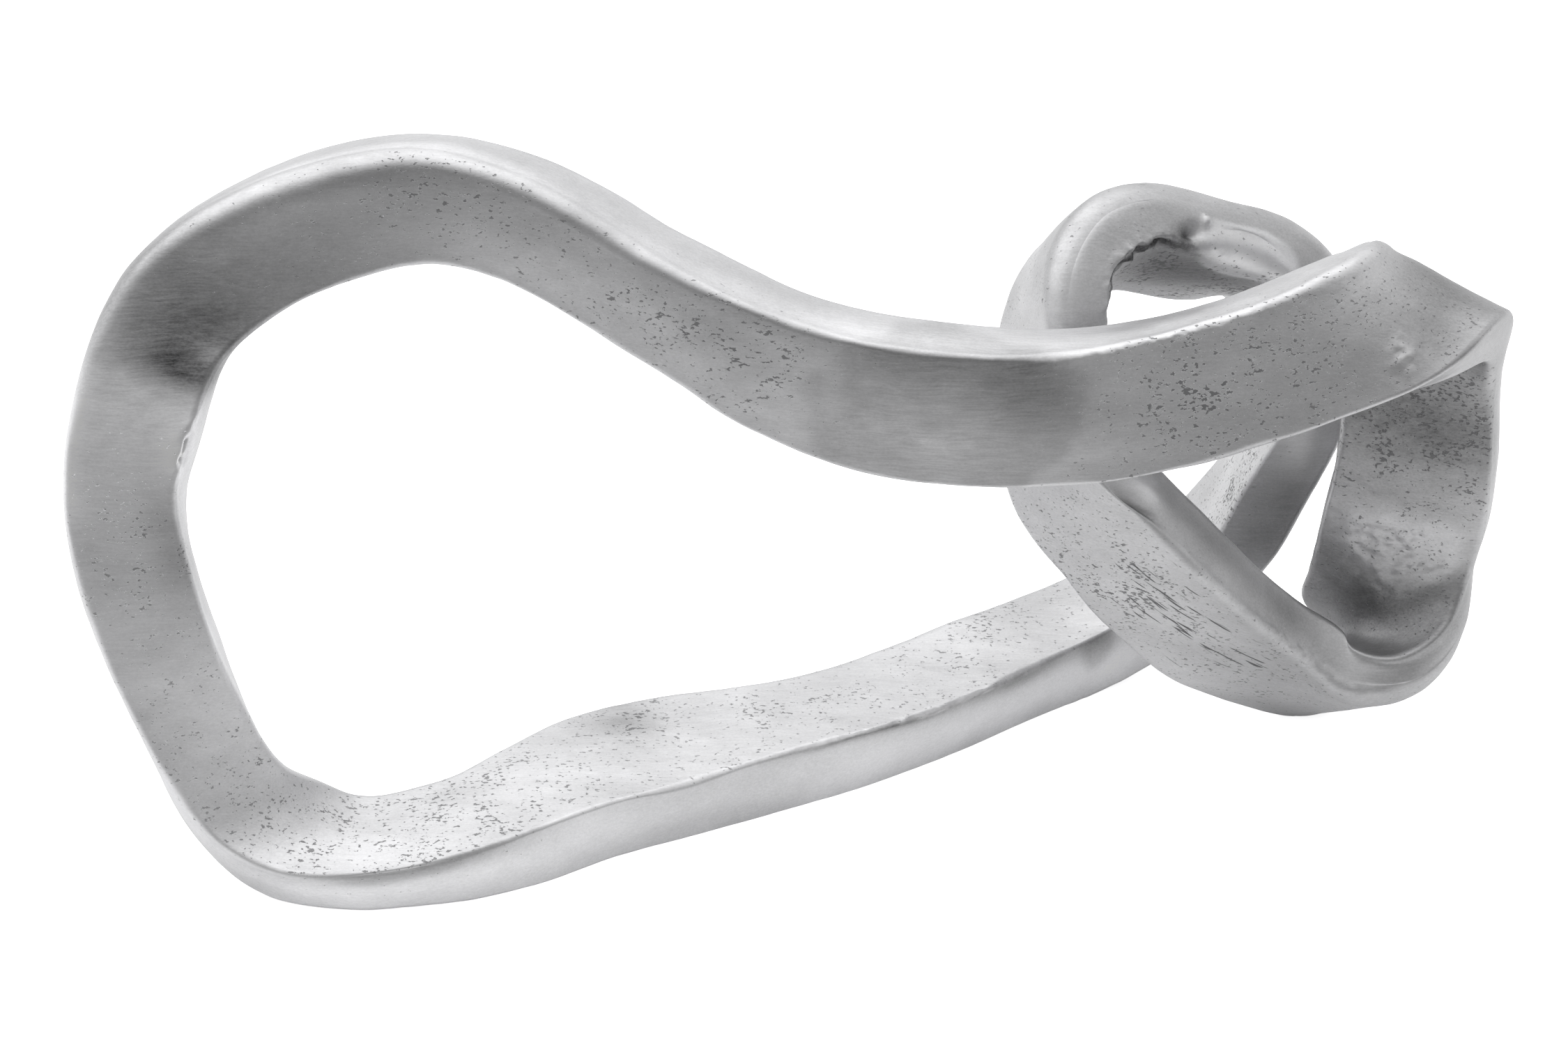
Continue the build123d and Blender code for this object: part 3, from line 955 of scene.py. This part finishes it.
def metal(name, colours, base):
    """Bare aluminium: cast skin where the tools never went, ground and brushed metal elsewhere."""
    if name in bpy.data.materials:
        return bpy.data.materials[name]
    made = bpy.data.materials.new(name)
    made.use_nodes = True
    tree = made.node_tree
    shader = tree.nodes["Principled BSDF"]

    pits, dressed, edge, tone, gouges = [
        node(tree, "ShaderNodeAttribute", attribute_name=label).outputs["Fac"]
        for label in ("pits", "dressed", "edge", "tone", "gouges")]
    pit, grain, skin_height = group_node(tree, cast_skin, Pits=pits).outputs
    brush, brush_height = group_node(tree, brush_marks, Strength=dressed).outputs
    wear_and_glint = group_node(tree, edge_wear_and_glint, Edge=edge).outputs[0]
    gouge = group_node(tree, gouge_marks, Gouges=gouges).outputs[0]
    hollow = math_node(tree, "MAXIMUM", pit, gouge)

    # Clouds of tone that lie along the knot.
    clouds_per_metre = 30.0
    long_way = (0.45, 1.0, 1.0)
    where = node(tree, "ShaderNodeTexCoord").outputs["Object"]
    laid = vector_node(tree, "MULTIPLY", where, long_way)
    cloud = noise_node(tree, laid, clouds_per_metre, detail=5.0, roughness=0.6)

    # The colour: metal, its tones (brush lines, grain, clouds, and the tone mask, which is mostly
    # painted shade and painted light), bright edges that are partly worn and partly painted glints,
    # then the dirt in the hollows.
    base_shade = 0.56
    base_dirt = 0.35
    shade = weighed_sum(
        tree, base_shade, (tone, 0.80), (brush, 0.55), (grain, 0.28), (cloud, 0.60))
    colour = mix_colour(tree, dressed, base, tuple(colours.dressed_colour))
    colour = mix_colour(tree, 1.0, colour, grey_node(tree, shade), "MULTIPLY")
    # Bright edges: worn metal, and painted glints and highlights.
    colour = mix_colour(tree, wear_and_glint, colour, tuple(colours.worn_and_glint_colour))
    depth = math_node(tree, "MAXIMUM", weighed_sum(tree, base_dirt, (pits, 0.55)), gouge)
    dirt = math_node(tree, "MULTIPLY", hollow, depth)
    colour = mix_colour(tree, dirt, colour, tuple(colours.pit_colour))
    feed(tree, shader.inputs["Base Color"], colour)

    base_roughness = 0.46
    gouge_height = -0.0002
    rough = weighed_sum(
        tree, base_roughness, (dressed, -0.08), (cloud, 0.08), (wear_and_glint, -0.10), (hollow, 0.20))
    feed(tree, shader.inputs["Roughness"], rough)
    height = weighed_sum(tree, skin_height, (gouge, gouge_height))
    height = math_node(tree, "ADD", height, brush_height)
    bump = node(tree, "ShaderNodeBump", Strength=1.0, Distance=1.0, Height=height)
    feed(tree, shader.inputs["Normal"], bump.outputs["Normal"])
    shader.inputs["Metallic"].default_value = 1.0
    lay_out(tree)
    return made


# Operators

class KNOT_OT_castings(bpy.types.Operator):
    """Build the eight castings of the bar"""

    bl_idname = "knot.castings"
    bl_label = "Castings"

    def execute(self, context):
        scene = context.scene
        bar = Bar(scene)
        colours = scene.knot_metal
        finish = metal("bare_castings", colours, tuple(colours.cast_colour))
        reach = bar.sizes.weld_reach
        for name, start, end in zip(castings, bar.seams[:-1], bar.seams[1:]):
            places = spaced(start + reach, end - reach, bar.sizes.row_pitch)
            piece = build_piece(
                f"dressed_{name}", name, bar, places, (start, end), True)
            piece.data.materials.append(finish)
        return {"FINISHED"}


class KNOT_OT_welds(bpy.types.Operator):
    """Build the eight rings of weld metal between the castings"""

    bl_idname = "knot.welds"
    bl_label = "Weld rings"

    def execute(self, context):
        scene = context.scene
        bar = Bar(scene)
        colours = scene.knot_metal
        finish = metal("bare_welds", colours, tuple(colours.weld_colour))
        reach = bar.sizes.weld_reach
        for before, after, seam in zip(castings, castings[1:] + castings[:1], bar.seams[1:]):
            places = spaced(seam - reach, seam + reach, bar.sizes.row_pitch)
            joint = f"weld_{before}_to_{after}"
            piece = build_piece(
                f"dressed_{joint}", joint, bar, places, (seam,), False)
            piece.data.materials.append(finish)
        return {"FINISHED"}


class KNOT_OT_stage(bpy.types.Operator):
    """Lay the floor, hang the lamp, colour the world and place the camera"""

    bl_idname = "knot.stage"
    bl_label = "Stage"

    def execute(self, context):
        scene = context.scene
        settings = scene.knot_stage
        self.lay_floor(scene, settings)
        self.colour_world(scene)
        self.hang_lamp(scene, settings)
        self.place_camera(scene, settings)
        scene.view_settings.view_transform = "Standard"
        return {"FINISHED"}

    def lay_floor(self, scene, settings):
        """A plain pale floor, darker in front as painted shade that the metal reflects. Only the
        camera sees the light that is added to it.
        """
        half = settings.floor_side / 2
        mesh = bpy.data.meshes.new("floor")
        mesh.from_pydata([(-half, -half, 0), (half, -half, 0), (half, half, 0), (-half, half, 0)],
                         [], [(0, 1, 2, 3)])
        floor = bpy.data.objects.new("floor", mesh)
        scene.collection.objects.link(floor)
        made = bpy.data.materials.new("floor")
        made.use_nodes = True
        tree = made.node_tree
        shader = tree.nodes["Principled BSDF"]
        where = node(tree, "ShaderNodeTexCoord").outputs["Object"]
        back = node(tree, "ShaderNodeSeparateXYZ", where).outputs["Y"]
        # Darker in front: painted shade for the metal to see, while the camera sees the floor
        # white.
        pale = span_node(tree, back, -settings.far_edge, -settings.near_edge,
                         settings.floor_far, settings.floor_near)
        feed(tree, shader.inputs["Base Color"], grey_node(tree, pale))
        shader.inputs["Roughness"].default_value = 0.9
        shader.inputs["Specular IOR Level"].default_value = 0.0
        shader.inputs["Emission Color"].default_value = (1, 1, 1, 1)
        seen = node(tree, "ShaderNodeLightPath").outputs["Is Camera Ray"]
        lift = math_node(tree, "SUBTRACT", settings.floor_white, pale)
        feed(tree, shader.inputs["Emission Strength"], math_node(tree, "MULTIPLY", seen, lift))
        lay_out(tree)
        mesh.materials.append(made)

    def colour_world(self, scene):
        """White for the camera. The metal sees a room, bright above and behind and dim in front."""
        world = bpy.data.worlds.new("studio")
        scene.world = world
        world.use_nodes = True
        tree = world.node_tree
        way = node(tree, "ShaderNodeTexCoord").outputs["Generated"]
        lean = node(tree, "ShaderNodeVectorMath", way, room_lean, operation="DOT_PRODUCT")
        share = weighed_sum(tree, 0.5, (lean.outputs["Value"], 0.5))
        ramp = node(tree, "ShaderNodeValToRGB", share)
        for place, level in room_levels:
            stop = ramp.color_ramp.elements.new(place)
            stop.color = (level, level, level, 1.0)
        ramp.color_ramp.elements.remove(ramp.color_ramp.elements[0])
        ramp.color_ramp.elements.remove(ramp.color_ramp.elements[-1])
        seen = node(tree, "ShaderNodeLightPath").outputs["Is Camera Ray"]
        white = (1.0, 1.0, 1.0)
        colour = mix_colour(tree, seen, ramp.outputs[0], white)
        feed(tree, tree.nodes["Background"].inputs["Color"], colour)
        lay_out(tree)

    def hang_lamp(self, scene, settings):
        """One large soft lamp overhead, a little behind and to the left."""
        lamp = bpy.data.lights.new("overhead", "AREA")
        lamp.energy = settings.lamp_power
        lamp.size = settings.lamp_side
        made = bpy.data.objects.new("overhead", lamp)
        made.location = lamp_place
        made.rotation_euler = (-Vector(lamp_place)).to_track_quat("-Z", "Y").to_euler()
        scene.collection.objects.link(made)

    def place_camera(self, scene, settings):
        """The camera of the photograph."""
        aim = Vector(settings.camera_aim) + Vector(Bar(scene).seat)
        rise = settings.camera_rise
        back = Vector((0, -math.cos(rise), math.sin(rise)))
        lens = bpy.data.cameras.new("camera")
        lens.lens = settings.lens
        lens.sensor_width = sensor_width
        lens.clip_end = view_end
        camera = bpy.data.objects.new("camera", lens)
        camera.location = aim + back * settings.camera_distance
        camera.rotation_euler = (-back).to_track_quat("-Z", "Y").to_euler()
        scene.collection.objects.link(camera)
        scene.camera = camera


class KNOT_PT_sidebar(bpy.types.Panel):
    """Sizes, colours and steps of the metal knot"""

    bl_idname = "KNOT_PT_sidebar"
    bl_label = "Metal Knot"
    bl_space_type = "VIEW_3D"
    bl_region_type = "UI"
    bl_category = "Metal Knot"

    def draw(self, context):
        for label, group in property_groups:
            box = self.layout.box()
            box.label(text=group.__doc__.split(".")[0])
            for name in group.__annotations__:
                box.prop(getattr(context.scene, label), name)
        for operator in (KNOT_OT_castings, KNOT_OT_welds, KNOT_OT_stage):
            self.layout.operator(operator.bl_idname)


property_groups = [
    ("knot_bar", KnotBarSizes),
    ("knot_skin", KnotSkinSizes),
    ("knot_metal", KnotMetalColours),
    ("knot_stage", KnotStageSettings),
]
classes = [group for _, group in property_groups]
classes += [KNOT_OT_castings, KNOT_OT_welds, KNOT_OT_stage, KNOT_PT_sidebar]


def register():
    for item in classes:
        bpy.utils.register_class(item)
    for label, group in property_groups:
        setattr(bpy.types.Scene, label, PointerProperty(type=group))


def unregister():
    for label, _ in property_groups:
        delattr(bpy.types.Scene, label)
    for item in reversed(classes):
        bpy.utils.unregister_class(item)


def main():
    register()
    bpy.ops.knot.castings()
    bpy.ops.knot.welds()
    bpy.ops.knot.stage()


if __name__ == "__main__":
    main()
